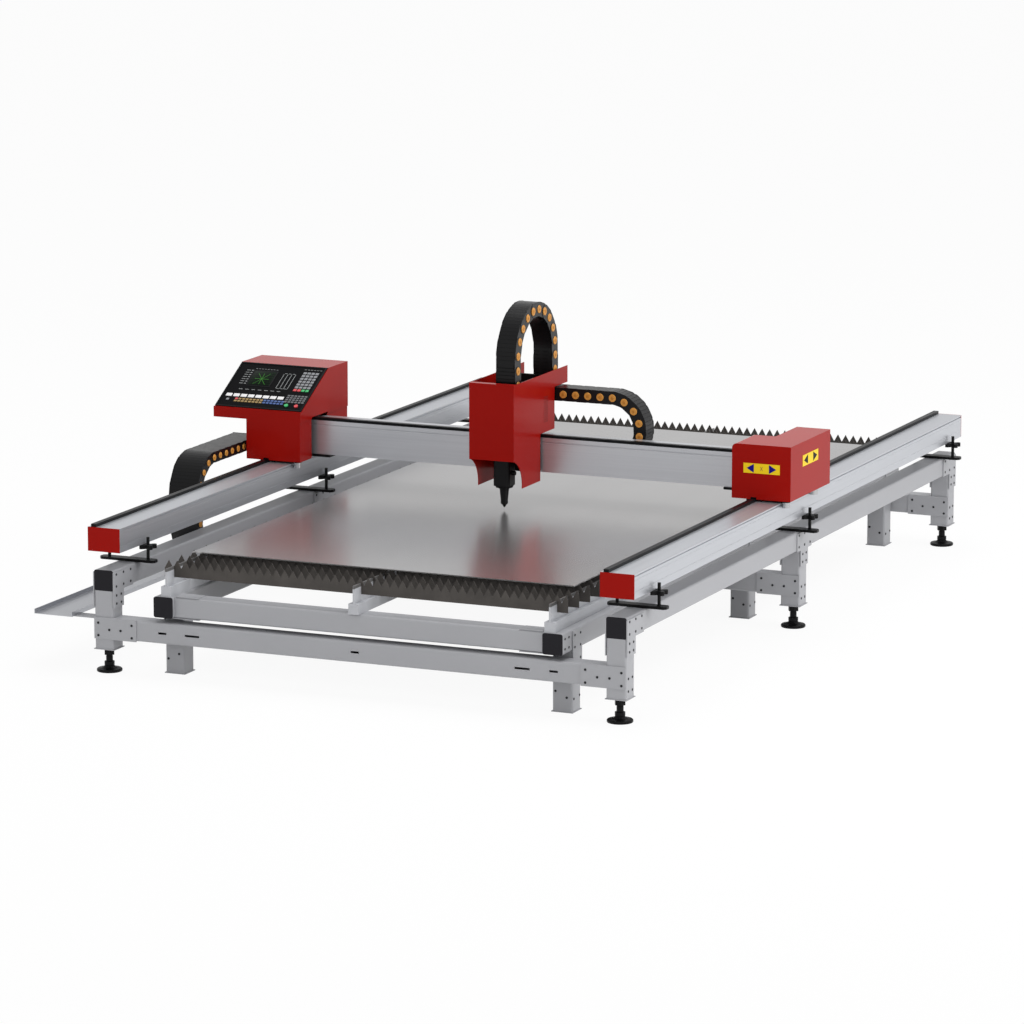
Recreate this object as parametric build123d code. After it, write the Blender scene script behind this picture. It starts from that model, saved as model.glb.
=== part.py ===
from build123d import *
import os

os.makedirs("parts", exist_ok=True)

# Fiber laser cutting machine with a travelling gantry. All sizes are in millimetres.
# X runs across the two rails, Y along them from front to rear, Z up from the floor.

# Square tube used for the frame and for the slat table.
TUBE = 76
TUBE_WALL = 4
TUBE_R = 8
PLUG_T = 3

# Outer frame.
RAIL_PITCH = 2000
FRAME_L = 3468
BEAM_Z = 302
CROSS_Z = 127
POST_Z = 85
POST_FLOOR_T = 6
FLANGE_T = 3
FLANGE_OUT = 3
FACE_PLATE_W = 170
FACE_PLATE_H = 80
FACE_PLATE_T = 4
SIDE_PLATE_L = 150
SIDE_PLATE_DROP = 62
SIDE_PLATE_T = 4
SLOT_H = 8
SLOT_SPANS = [(-781, -748), (-674, -616), (-16, 16), (616, 674), (748, 781)]

# Levelling feet.
FOOT_R = 46.5
FOOT_T = 10
HUB_R = 20
HUB_TOP = 34
STEM_R = 11.3
STEM_TOP = 110
NUT_R = 20
NUT_H = 24
THREAD_GAP = 0.35

# Rails with their guide strips.
RAIL_W = 128
RAIL_H = 88
RAIL_Z = 444
RAIL_L = 3450
RAIL_WALL = 6
RAIL_CAP_T = 3.5
GROOVE_DEPTH = 4
GROOVE_H = 4
GROOVE_DROP = 5
STRIP_W = 20
STRIP_H = 11
STRIP_INSET = 12

# Clamps that carry the rails on the long beams.
CLAMP_SETBACKS = (189, 141)
CLAMP_MIDDLE_Y = -46
CLAMP_L = 224
CLAMP_W = 40
CLAMP_T = 10
CLAMP_CHAMFER = 9
STUD_OFFSET = 79
STUD_R = 6
STUD_TOP = 470
COLLAR_R = 18
COLLAR_T = 8
KNOB_R = 33
KNOB_HUB_R = 15
KNOB_LOBE_R = 9
KNOB_T = 15
KNOB_BORE_GAP = 0.4
KNOB_GAP = 1.0

# Slat table.
TABLE_X = 760
TABLE_Z = 223
TABLE_CROSS_SETBACK = 18
LEG_SETBACKS = (127, 123)
LEG_MIDDLE_Y = 95
TABLE_PLATE_T = 3
TABLE_PLATE_L = 96
TABLE_PLATE_LAPS = (-5, 9)
TABLE_PLATE_W = 61
LEG_PLATE_T = 4
LEG_PLATE_W = 80
LEG_PLATE_Z = (176, 295)

# Slat holders, each with an upright comb plate, and slats.
HOLDER_INSETS = (9.5, 13.5)
HOLDER_MIDDLE_X = -7.5
HOLDER_W = 39
HOLDER_H = 38
HOLDER_SETBACK = 6
COMB_T = 6
COMB_SHIFT = 1
COMB_TOP = 402
SLOT_GAP = 0.3
SLAT_T = 3
SLAT_OVERHANGS = (24, 31)
SLAT_MARGINS = (60, 43)
SLAT_COUNT = 35
SLAT_BOTTOM = 362
SLAT_TIP = 423
TOOTH_COUNT = 36
TOOTH_H = 29

# Steel sheet on the slats.
SHEET_W = 1500
SHEET_L = 3000
SHEET_T = 4
SHEET_X = 0
SHEET_Y = -17

# Chain tray beside the left rail.
TRAY_REACH = 235
TRAY_W = 154
TRAY_Z = 200
TRAY_T = 2
TRAY_FLANGE = 17
TRAY_OUT = 22
ARM_W = 44
ARM_T = 6

# Gantry beam.
BEAM_L = 2194
GB_FRONT = -198
GB_DEPTH = 110
GB_Z = 554
GB_H = 132
GB_WALL = 6
GB_LINE_DROP = 17
GB_LINE = 3
PLATE_T = 9
PLATE_MARGIN = 8
LEDGE_END = (-828, 795)
BLOCK_PLATE_X = 915
RUN_GAP = 0.4
BLOCK_LIFT = 1

# Guide blocks and side rollers under the gantry.
BLOCK_W = 60
BLOCK_L = 80
BLOCK_Y = [-274, -174]
ROLLER_R = 15
ROLLER_H = 20
ROLLER_Z = 514
ROLLER_Y = [-296, -6]
ROLLER_PIN_R = 4
ROLLER_PIN_DROP = 2
ROLLER_GAP = 0.3

# Console on the left end of the gantry.
SHEET_METAL = 2.5
COLUMN_X = (-1125, -897)
COLUMN_Y = (-326, 96)
COLUMN_Z = 540
CONSOLE_X = (-1265, -894)
CONSOLE_Z = 694
CONSOLE_TOP = 870
LIP_TOP = 735
PANEL_FOOT_Y = -320
PANEL_HEAD_Y = -79
PANEL_T = 3
PANEL_EDGE = 2
BEAM_PASS_Y = (-224, -83)
BEAM_PASS_TOP = 700
STRIP_PASS_W = 24
STRIP_PASS_GAP = 5
BUTTON_R = 8
BUTTON_H = 7
BUTTON_TRAVEL = 3
BUTTON_PROUD = 1
BUTTON_GAP = 0.4
BUTTON_UP = 31
GREEN_X = -970
RED_X = -928

# Cover on the right end of the gantry.
COVER_X = (872, 1104)
COVER_STEP_X = 971
COVER_Y = (-319, 96)
COVER_STEP_Y = -126
COVER_TOP = 745
COVER_R = 18

# Head carriage on the gantry.
HEAD_X = -36
HOOD_W = 182
HOOD_FRONT = -461
HOOD_TOP = 925
HOOD_REAR = 49
HOOD_WING_Z = 861
HOOD_MID_Y = -76
HOOD_STEP_Z = 701
HOOD_LOW_Y = -211
HOOD_BOTTOM = 522
HOOD_CHEEK_Y = -381
HOOD_FRONT_Z = 635
HOOD_BULGE = 0.7
HOOD_FLANGE = 25
SADDLE_FRONT = -216
SADDLE_T = 12
SADDLE_Z = (560, 860)
BRIDGE_Z = 700
BEAM_BLOCK_INSET = 5
UPRIGHT_T = 10
UPRIGHT_TOP = 905
SHELF_Z = 862
SHELF_T = 6
SHELF_REAR = 14
Z_RAIL_W = 30
Z_RAIL_T = 10
Z_RAIL_Z = (565, 845)

# Cutting head on its vertical slide.
SLIDE_W = 100
SLIDE_T = 27
SLIDE_GAP = 3
SLIDE_Z = (560, 802)
SLIDE_ARM_T = 12
HEAD_Y = -341
HEAD_W = 66
HEAD_R = 10
HEAD_Z = (522, 700)
COLLIMATOR_R = 26
COLLIMATOR_TOP = 788
HEAD_CLAMP_Z = (600, 680)
CONE_PROFILE = [(0, 522), (27, 522), (17.5, 505), (13, 458), (0, 458)]
NOZZLE_PROFILE = [(0, 458), (13, 458), (13, 450), (9, 448), (2, 437), (0, 437)]

# Cable chains: width across, height of a link, radius of the bend at mid height.
Y_CHAIN_X = -1200.5
Y_CHAIN_W = 127
Y_CHAIN_H = 43
Y_CHAIN_R = 134
Y_CHAIN_TOP = 584
Y_CHAIN_LOW = 228
Y_CHAIN_END = -168
Y_CHAIN_BEND = -558
Y_CHAIN_FIXED = 252
Y_CHAIN_LINKS = 34
X_CHAIN_Y = -28.5
X_CHAIN_W = 85
X_CHAIN_H = 52
X_CHAIN_R = 120
X_CHAIN_TOP = 832
X_CHAIN_END = -114
X_CHAIN_BEND = 281
X_CHAIN_FIXED = -104
X_CHAIN_LINKS = 23
Z_CHAIN_X = 2
Z_CHAIN_W = 84
Z_CHAIN_H = 56
Z_CHAIN_R = 175
Z_CHAIN_Y = -214
Z_CHAIN_Z = 1000
Z_CHAIN_LINKS = 16
LINK_GAP = 0.3
X_TRAY_X = (-764, 786)
X_TRAY_T = 2
X_TRAY_FLANGE = 15
X_TRAY_MARGIN = 4
BRACKET_T = 5
BRACKET_L = 60
CHAIN_END_GAP = 1

# Overshoot of the cutting shapes and reach within which an edge counts as found.
CUT = 1
NEAR = 1

RAIL_XS = [-RAIL_PITCH / 2, RAIL_PITCH / 2]
POST_YS = [-(FRAME_L - TUBE) / 2, 0, (FRAME_L - TUBE) / 2]
SIDES = ["left", "right"]
ENDS = ["front", "middle", "rear"]
BEAM_TOP = BEAM_Z + TUBE
CLAMP_TOP = BEAM_TOP + CLAMP_T
CLAMP_Y = [CLAMP_SETBACKS[0] - RAIL_L / 2, CLAMP_MIDDLE_Y, RAIL_L / 2 - CLAMP_SETBACKS[1]]
LEG_Y = [LEG_SETBACKS[0] - FRAME_L / 2, LEG_MIDDLE_Y, FRAME_L / 2 - LEG_SETBACKS[1]]
HOLDER_X = [HOLDER_INSETS[0] - TABLE_X, HOLDER_MIDDLE_X, TABLE_X - HOLDER_INSETS[1]]
HOLDER_L = FRAME_L - 2 * HOLDER_SETBACK
RAIL_TOP = RAIL_Z + RAIL_H
TABLE_TOP = TABLE_Z + TUBE
GB_REAR = GB_FRONT + GB_DEPTH
GB_TOP = GB_Z + GB_H
PLATE_Z = GB_Z - PLATE_T
STRIP_TOP = RAIL_TOP + STRIP_H
TRAY_X0 = -(RAIL_PITCH + TUBE) / 2 - TRAY_REACH
TRAY_YS = (-FRAME_L / 2 - TRAY_OUT, FRAME_L / 2)
RISE = CONSOLE_TOP - LIP_TOP
RUN = PANEL_HEAD_Y - PANEL_FOOT_Y
PANEL_L = (RISE ** 2 + RUN ** 2) ** 0.5
PANEL_SIN = RISE / PANEL_L
PANEL_COS = RUN / PANEL_L
PI_180 = 3.141592653589793 / 180

# Middle of the overall box on plan: from the tray to the clamps and the rear feet.
MIDDLE_X = (TRAY_X0 + RAIL_PITCH / 2 + CLAMP_L / 2) / 2
MIDDLE_Y = (TRAY_YS[0] + POST_YS[2] + FOOT_R) / 2


def group(shapes):
    return Compound(children=list(shapes))


def save(name, shape):
    # The solids are drawn about the middle of the rails and stored about the middle of the box.
    moved = [Pos(-MIDDLE_X, -MIDDLE_Y, 0) * solid for solid in shape.solids()]
    stored = group(moved) if len(moved) > 1 else moved[0]
    export_step(stored, "parts/" + name + ".step")


def block(xs, ys, zs):
    size = Box(xs[1] - xs[0], ys[1] - ys[0], zs[1] - zs[0])
    return Pos((xs[0] + xs[1]) / 2, (ys[0] + ys[1]) / 2, (zs[0] + zs[1]) / 2) * size


# Square tubes and their plugs.

def tube_section():
    inner = TUBE - 2 * TUBE_WALL
    return RectangleRounded(TUBE, TUBE, TUBE_R) - Rectangle(inner, inner)


def tube_y(x, z, y0, y1):
    solid = extrude(Plane.XZ * tube_section(), amount=y1 - y0)
    return Pos(x, y1, z + TUBE / 2) * solid


def tube_x(y, z, x0, x1):
    solid = extrude(Plane.YZ * tube_section(), amount=x1 - x0)
    return Pos(x0, y, z + TUBE / 2) * solid


def tube_z(x, y, z0, z1):
    return Pos(x, y, z0) * extrude(tube_section(), amount=z1 - z0)


def plug(x, z, y0):
    solid = extrude(Plane.XZ * RectangleRounded(TUBE, TUBE, TUBE_R), amount=PLUG_T)
    return Pos(x, y0 + PLUG_T, z + TUBE / 2) * solid


def make_long_beams():
    reach = FRAME_L / 2 - PLUG_T
    for side, x in zip(SIDES, RAIL_XS):
        save(side + "_long_beam", tube_y(x, BEAM_Z, -reach, reach))


def make_posts():
    # Each post has a floor plate with a thin flange and a hole for the stem of its foot.
    inner = TUBE - 2 * TUBE_WALL
    edge = TUBE + 2 * FLANGE_OUT
    floor = Pos(0, 0, POST_FLOOR_T / 2) * Box(inner, inner, POST_FLOOR_T)
    floor += Pos(0, 0, FLANGE_T / 2) * Box(edge, edge, FLANGE_T)
    floor -= Cylinder(STEM_R + THREAD_GAP, 3 * POST_FLOOR_T)
    posts = []
    for x in RAIL_XS:
        for y in POST_YS:
            posts.append(tube_z(x, y, POST_Z, BEAM_Z) + Pos(x, y, POST_Z) * floor)
    save("posts", group(posts))


def make_cross_beams():
    reach = (RAIL_PITCH - TUBE) / 2
    beams = []
    for y in POST_YS:
        beam = tube_x(y, CROSS_Z, -reach, reach)
        front = y - TUBE / 2
        middle = CROSS_Z + TUBE / 2
        for span in SLOT_SPANS:
            wall = (front - CUT, front + TUBE_WALL + CUT)
            beam -= block(span, wall, (middle - SLOT_H / 2, middle + SLOT_H / 2))
        beams.append(beam)
    save("cross_beams", group(beams))


def make_plugs():
    plugs = []
    front = -FRAME_L / 2
    rear = FRAME_L / 2 - PLUG_T
    for y in [front, rear]:
        for x in RAIL_XS:
            plugs.append(plug(x, BEAM_Z, y))
        for x in [-TABLE_X, TABLE_X]:
            plugs.append(plug(x, TABLE_Z, y))
    save("tube_end_plugs", group(plugs))


def side_plate(y, toward):
    # Flat T or L plate that ties a post to the beam above it.
    half = TUBE / 2
    drop = BEAM_Z - SIDE_PLATE_DROP
    rise = BEAM_TOP - TUBE_R
    reach = SIDE_PLATE_L / 2
    if toward == 0:
        arm = (y - reach, y + reach)
    elif toward > 0:
        arm = (y - half, y - half + SIDE_PLATE_L)
    else:
        arm = (y + half - SIDE_PLATE_L, y + half)
    plate = block((0, SIDE_PLATE_T), arm, (BEAM_Z, rise))
    return plate + block((0, SIDE_PLATE_T), (y - half, y + half), (drop, BEAM_Z))


def make_frame_plates():
    plates = []
    middle = CROSS_Z + TUBE / 2
    heights = (middle - FACE_PLATE_H / 2, middle + FACE_PLATE_H / 2)
    outer = (RAIL_PITCH + TUBE) / 2
    for y in POST_YS:
        face = y - TUBE / 2
        depth = (face - FACE_PLATE_T, face)
        plates.append(block((-outer, FACE_PLATE_W - outer), depth, heights))
        plates.append(block((outer - FACE_PLATE_W, outer), depth, heights))
    for y, toward in zip(POST_YS, [1, 0, -1]):
        plate = side_plate(y, toward)
        for left in [outer, outer - TUBE - SIDE_PLATE_T]:
            plates.append(Pos(left, 0, 0) * plate)
            plates.append(Pos(-left - SIDE_PLATE_T, 0, 0) * plate)
    save("frame_plates", group(plates))


# Levelling feet.

def make_feet():
    points = [(0, 0), (FOOT_R, 0), (FOOT_R, FOOT_T), (HUB_R, FOOT_T)]
    points += [(STEM_R, HUB_TOP), (STEM_R, STEM_TOP), (0, STEM_TOP)]
    profile = make_face(Plane.XZ * Polyline(*points, close=True))
    foot = revolve(profile, Axis.Z)
    bore = Cylinder(STEM_R + THREAD_GAP, 2 * NUT_H)
    nut = extrude(RegularPolygon(NUT_R, 6), amount=NUT_H) - bore
    nuts = []
    for side, x in zip(SIDES, RAIL_XS):
        for end, y in zip(ENDS, POST_YS):
            save(end + "_" + side + "_foot", Pos(x, y, 0) * foot)
            nuts.append(Pos(x, y, POST_Z - NUT_H) * nut)
    save("foot_lock_nuts", group(nuts))


# Rails, guide strips and caps.

def make_rails():
    half = RAIL_W / 2
    inner = Rectangle(RAIL_W - 2 * RAIL_WALL, RAIL_H - 2 * RAIL_WALL)
    groove_z = RAIL_H / 2 - GROOVE_DROP - GROOVE_H / 2
    groove = Pos(half, groove_z) * Rectangle(2 * GROOVE_DEPTH, GROOVE_H)
    section = Rectangle(RAIL_W, RAIL_H) - inner - groove
    rail = extrude(Plane.XZ * section, amount=RAIL_L)
    ends = RAIL_L / 2
    strips = []
    caps = []
    for side, x in zip(SIDES, RAIL_XS):
        save(side + "_rail", Pos(x, ends, RAIL_Z + RAIL_H / 2) * rail)
        left = x - half + STRIP_INSET
        strips.append(block((left, left + STRIP_W), (-ends, ends), (RAIL_TOP, STRIP_TOP)))
        for ys in [(-ends - RAIL_CAP_T, -ends), (ends, ends + RAIL_CAP_T)]:
            caps.append(block((x - half, x + half), ys, (RAIL_Z, RAIL_TOP)))
    save("rail_guide_strips", group(strips))
    save("rail_end_caps", group(caps))


def knob():
    # Four lobes joined to a round hub.
    shape = Circle(KNOB_HUB_R)
    for turn in range(4):
        lobe = Pos(KNOB_R - KNOB_LOBE_R, 0) * Circle(KNOB_LOBE_R)
        neck = Pos((KNOB_R - KNOB_LOBE_R) / 2, 0) * Rectangle(KNOB_R - KNOB_LOBE_R, 2 * KNOB_LOBE_R)
        shape += Rot(0, 0, 45 + 90 * turn) * (lobe + neck)
    shape -= Circle(STUD_R + KNOB_BORE_GAP)
    return extrude(shape, amount=KNOB_T)


def make_clamps():
    plates = []
    studs = []
    star = knob()
    outline = chamfer(Rectangle(CLAMP_L, CLAMP_W).vertices(), CLAMP_CHAMFER)
    plate = extrude(outline, amount=CLAMP_T)
    tall = STUD_TOP - CLAMP_TOP
    short = RAIL_Z - CLAMP_TOP
    collar = Pos(0, 0, short - COLLAR_T / 2) * Cylinder(COLLAR_R, COLLAR_T)
    short_stud = Pos(0, 0, short / 2) * Cylinder(STUD_R, short) + collar
    tall_stud = Pos(0, 0, tall / 2) * Cylinder(STUD_R, tall)
    for side, x in zip(SIDES, RAIL_XS):
        for end, y in zip(ENDS, CLAMP_Y):
            plates.append(Pos(x, y, BEAM_TOP) * plate)
            studs.append(Pos(x - STUD_OFFSET, y, CLAMP_TOP) * short_stud)
            studs.append(Pos(x + STUD_OFFSET, y, CLAMP_TOP) * tall_stud)
            height = RAIL_Z - KNOB_GAP - KNOB_T
            save(end + "_" + side + "_knob", Pos(x + STUD_OFFSET, y, height) * star)
    save("clamp_plates", group(plates))
    save("clamp_studs", group(studs))


# Slat table.

def make_table():
    reach = FRAME_L / 2 - PLUG_T
    for side, x in zip(SIDES, [-TABLE_X, TABLE_X]):
        save(side + "_table_tube", tube_y(x, TABLE_Z, -reach, reach))
    inner = TABLE_X - TUBE / 2
    edge = FRAME_L / 2 - TABLE_CROSS_SETBACK - TUBE / 2
    tubes = [tube_x(y, TABLE_Z, -inner, inner) for y in [-edge, 0, edge]]
    save("table_cross_tubes", group(tubes))
    legs = []
    flange = TUBE / 2 + FLANGE_OUT
    for x in [-TABLE_X, TABLE_X]:
        for y in LEG_Y:
            leg = tube_z(x, y, FLANGE_T, TABLE_Z)
            foot = block((x - flange, x + flange), (y - flange, y + flange), (0, FLANGE_T))
            legs.append(leg + foot)
    save("table_legs", group(legs))


def make_table_plates():
    plates = []
    inner = TABLE_X - TUBE / 2
    edge = FRAME_L / 2 - TABLE_CROSS_SETBACK
    levels = [(TABLE_TOP, TABLE_TOP + TABLE_PLATE_T), (TABLE_Z - TABLE_PLATE_T, TABLE_Z)]
    for ys in [(-edge, -edge + TABLE_PLATE_W), (edge - TABLE_PLATE_W, edge)]:
        for lap, zs in zip(TABLE_PLATE_LAPS, levels):
            plates.append(block((-inner - lap, -inner + TABLE_PLATE_L), ys, zs))
            plates.append(block((inner - TABLE_PLATE_L, inner + lap), ys, zs))
    outer = TABLE_X + TUBE / 2
    for y in LEG_Y:
        ys = (y - LEG_PLATE_W / 2, y + LEG_PLATE_W / 2)
        plates.append(block((outer, outer + LEG_PLATE_T), ys, LEG_PLATE_Z))
        plates.append(block((-outer - LEG_PLATE_T, -outer), ys, LEG_PLATE_Z))
    save("table_plates", group(plates))


def slat_stations():
    first = SLAT_MARGINS[0] - HOLDER_L / 2
    last = HOLDER_L / 2 - SLAT_MARGINS[1]
    step = (last - first) / (SLAT_COUNT - 1)
    return [first + step * n for n in range(SLAT_COUNT)]


def make_holders():
    # A box along the table with an upright comb plate that takes the slats.
    ys = (-HOLDER_L / 2, HOLDER_L / 2)
    base_top = TABLE_TOP + HOLDER_H
    slot = SLAT_T / 2 + SLOT_GAP
    holders = []
    for x in HOLDER_X:
        holder = block((x - HOLDER_W / 2, x + HOLDER_W / 2), ys, (TABLE_TOP, base_top))
        left = x + COMB_SHIFT - COMB_T / 2
        right = left + COMB_T
        holder += block((left, right), ys, (base_top, COMB_TOP))
        for y in slat_stations():
            walls = (y - slot, y + slot)
            holder -= block((left - CUT, right + CUT), walls, (SLAT_BOTTOM, COMB_TOP + CUT))
        holders.append(holder)
    save("slat_holders", group(holders))


def make_slats():
    # The teeth are coarser than the real ones.
    start = -TABLE_X - SLAT_OVERHANGS[0]
    end = TABLE_X + SLAT_OVERHANGS[1]
    pitch = (end - start) / TOOTH_COUNT
    valley = SLAT_TIP - TOOTH_H
    points = [(start, SLAT_BOTTOM), (end, SLAT_BOTTOM)]
    for tooth in range(TOOTH_COUNT):
        points.append((end - tooth * pitch, valley))
        points.append((end - (tooth + 0.5) * pitch, SLAT_TIP))
    points.append((start, valley))
    face = make_face(Plane.XZ * Polyline(*points, close=True))
    slat = Pos(0, SLAT_T / 2, 0) * extrude(face, amount=SLAT_T)
    save("slats", group([Pos(0, y, 0) * slat for y in slat_stations()]))


def make_sheet():
    xs = (SHEET_X - SHEET_W / 2, SHEET_X + SHEET_W / 2)
    ys = (SHEET_Y - SHEET_L / 2, SHEET_Y + SHEET_L / 2)
    save("steel_sheet", block(xs, ys, (SLAT_TIP, SLAT_TIP + SHEET_T)))


# Tray for the long chain and its arms.

def make_tray():
    xs = (TRAY_X0, TRAY_X0 + TRAY_W)
    tray = block(xs, TRAY_YS, (TRAY_Z, TRAY_Z + TRAY_FLANGE))
    inner = (xs[0] + TRAY_T, xs[1] - TRAY_T)
    lengths = (TRAY_YS[0] - CUT, TRAY_YS[1] + CUT)
    tray -= block(inner, lengths, (TRAY_Z + TRAY_T, TRAY_Z + TRAY_FLANGE + CUT))
    save("chain_tray", tray)
    arms = []
    post = -(RAIL_PITCH + TUBE) / 2
    for y in POST_YS:
        ys = (y - ARM_W / 2, y + ARM_W / 2)
        arms.append(block((TRAY_X0, post), ys, (TRAY_Z - ARM_T, TRAY_Z)))
    save("tray_arms", group(arms))


# Cable chains. A path is a list of straight runs and bends in one upright plane.

def walk(start, heading, pieces, count):
    # Gives the middle and the heading of every link along the path.
    total = sum(abs(p[1]) * PI_180 * p[0] if p[0] else p[1] for p in pieces)
    pitch = total / count
    found = []
    a, b = start
    done = 0
    wanted = pitch / 2
    for radius, amount in pieces:
        length = abs(amount) * PI_180 * radius if radius else amount
        while wanted <= done + length + 1e-6 and len(found) < count:
            part = wanted - done
            if radius:
                turn = part / radius / PI_180 * (1 if amount > 0 else -1)
                found.append(along_arc(a, b, heading, radius, turn))
            else:
                along = Vector(1, 0).rotate(Axis.Z, heading)
                found.append((a + along.X * part, b + along.Y * part, heading))
            wanted += pitch
        if radius:
            a, b, heading = along_arc(a, b, heading, radius, amount)
        else:
            along = Vector(1, 0).rotate(Axis.Z, heading)
            a += along.X * length
            b += along.Y * length
        done += length
    return found, pitch


def along_arc(a, b, heading, radius, turn):
    # Moves along an arc; a positive turn bends to the left of the heading.
    side = 90 if turn > 0 else -90
    to_centre = Vector(radius, 0).rotate(Axis.Z, heading + side)
    back = (to_centre * -1).rotate(Axis.Z, turn)
    return a + to_centre.X + back.X, b + to_centre.Y + back.Y, heading + turn


def link(pitch, height, width, radius):
    # A link whose ends narrow so that neighbours clear each other in the bend.
    half = height / 2
    tip = pitch / 2 - LINK_GAP / 2
    angle = pitch / radius / 2
    shoulder = (radius - half) * angle - LINK_GAP / 2
    points = [(-tip, 0), (-shoulder, -half), (shoulder, -half)]
    points += [(tip, 0), (shoulder, half), (-shoulder, half)]
    face = make_face(Plane.XZ * Polyline(*points, close=True))
    return Pos(0, width / 2, 0) * extrude(face, amount=width)


def make_y_chain():
    upper = Y_CHAIN_END - Y_CHAIN_BEND
    drop = Y_CHAIN_TOP - Y_CHAIN_LOW - 2 * Y_CHAIN_R
    lower = Y_CHAIN_FIXED - Y_CHAIN_BEND
    pieces = [(0, upper), (Y_CHAIN_R, 90), (0, drop), (Y_CHAIN_R, 90), (0, lower)]
    found, pitch = walk((Y_CHAIN_END, Y_CHAIN_TOP), 180, pieces, Y_CHAIN_LINKS)
    shape = Rot(0, 0, 90) * link(pitch, Y_CHAIN_H, Y_CHAIN_W, Y_CHAIN_R)
    links = [Pos(Y_CHAIN_X, y, z) * Rot(turn, 0, 0) * shape for y, z, turn in found]
    save("y_chain", group(links))


def make_x_chain():
    upper = X_CHAIN_BEND - X_CHAIN_END
    lower = X_CHAIN_BEND - X_CHAIN_FIXED
    pieces = [(0, upper), (X_CHAIN_R, -180), (0, lower)]
    found, pitch = walk((X_CHAIN_END, X_CHAIN_TOP), 0, pieces, X_CHAIN_LINKS)
    shape = link(pitch, X_CHAIN_H, X_CHAIN_W, X_CHAIN_R)
    links = [Pos(x, X_CHAIN_Y, z) * Rot(0, -turn, 0) * shape for x, z, turn in found]
    save("x_chain", group(links))


def make_z_chain():
    rear_rise = Z_CHAIN_Z - SHELF_Z - SHELF_T
    front_drop = Z_CHAIN_Z - SLIDE_Z[1]
    pieces = [(0, rear_rise), (Z_CHAIN_R, 180), (0, front_drop)]
    start = (Z_CHAIN_Y + Z_CHAIN_R, Z_CHAIN_Z - rear_rise)
    found, pitch = walk(start, 90, pieces, Z_CHAIN_LINKS)
    shape = Rot(0, 0, 90) * link(pitch, Z_CHAIN_H, Z_CHAIN_W, Z_CHAIN_R)
    links = [Pos(Z_CHAIN_X, y, z) * Rot(turn, 0, 0) * shape for y, z, turn in found]
    save("z_chain", group(links))


# Gantry beam with its strip, end plates, guide blocks and rollers.

def make_gantry_beam():
    half = BEAM_L / 2
    inner = Rectangle(GB_DEPTH - 2 * GB_WALL, GB_H - 2 * GB_WALL)
    section = Rectangle(GB_DEPTH, GB_H) - inner
    line = Pos(-GB_DEPTH / 2, GB_H / 2 - GB_LINE_DROP) * Rectangle(2 * GB_LINE, GB_LINE)
    section -= line
    beam = extrude(Plane.YZ * section, amount=BEAM_L)
    save("gantry_beam", Pos(-half, GB_FRONT + GB_DEPTH / 2, GB_Z + GB_H / 2) * beam)
    strip = block((-half, half), (GB_FRONT, GB_FRONT + STRIP_W), (GB_TOP, GB_TOP + STRIP_H))
    save("beam_guide_strip", strip)


def strip_x(rail_x):
    return rail_x - RAIL_W / 2 + STRIP_INSET + STRIP_W / 2


def strip_pass(rail_x, ys):
    # Room for the guide strip under the walls of a cover.
    x = strip_x(rail_x)
    xs = (x - STRIP_PASS_W / 2, x + STRIP_PASS_W / 2)
    return block(xs, (ys[0] - CUT, ys[1] + CUT), (COLUMN_Z - CUT, STRIP_TOP + STRIP_PASS_GAP))


def roller_x(rail_x):
    return rail_x + RAIL_W / 2 + ROLLER_R + ROLLER_GAP


def make_end_plates():
    wall = SHEET_METAL
    ledge = (GB_FRONT - PLATE_MARGIN, GB_REAR)
    level = (PLATE_Z, GB_Z)
    left = block((COLUMN_X[0] + wall, COLUMN_X[1] - wall), (COLUMN_Y[0] + wall, COLUMN_Y[1] - wall), level)
    left += block((COLUMN_X[0] + wall, LEDGE_END[0]), ledge, level)
    outer = COVER_X[1] - wall
    front = COVER_Y[0] + wall
    right = block((COVER_STEP_X + wall, outer), (front, COVER_Y[1] - wall), level)
    right += block((BLOCK_PLATE_X, outer), (front, COVER_STEP_Y - wall), level)
    right += block((LEDGE_END[1], outer), ledge, level)
    plates = []
    for rail_x, plate in zip(RAIL_XS, [left, right]):
        for y in ROLLER_Y:
            low = ROLLER_Z - ROLLER_PIN_DROP
            pin = Cylinder(ROLLER_PIN_R, PLATE_Z - low)
            plate += Pos(roller_x(rail_x), y, (PLATE_Z + low) / 2) * pin
        plates.append(plate)
    save("end_plates", group(plates))


def make_guide_blocks():
    blocks = []
    for rail_x in RAIL_XS:
        x = strip_x(rail_x)
        for y in BLOCK_Y:
            ys = (y - BLOCK_L / 2, y + BLOCK_L / 2)
            body = block((x - BLOCK_W / 2, x + BLOCK_W / 2), ys, (RAIL_TOP + BLOCK_LIFT, PLATE_Z))
            side = STRIP_W / 2 + RUN_GAP
            slot = (RAIL_TOP - CUT, STRIP_TOP + RUN_GAP)
            body -= block((x - side, x + side), (ys[0] - CUT, ys[1] + CUT), slot)
            blocks.append(body)
    save("rail_guide_blocks", group(blocks))


def make_rollers():
    ring = Circle(ROLLER_R) - Circle(ROLLER_PIN_R + ROLLER_GAP)
    roller = extrude(ring, amount=ROLLER_H)
    for side, rail_x in zip(SIDES, RAIL_XS):
        for end, y in zip(["front", "rear"], ROLLER_Y):
            save(end + "_" + side + "_roller", Pos(roller_x(rail_x), y, ROLLER_Z) * roller)


# Console with its panel and two push buttons.

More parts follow.
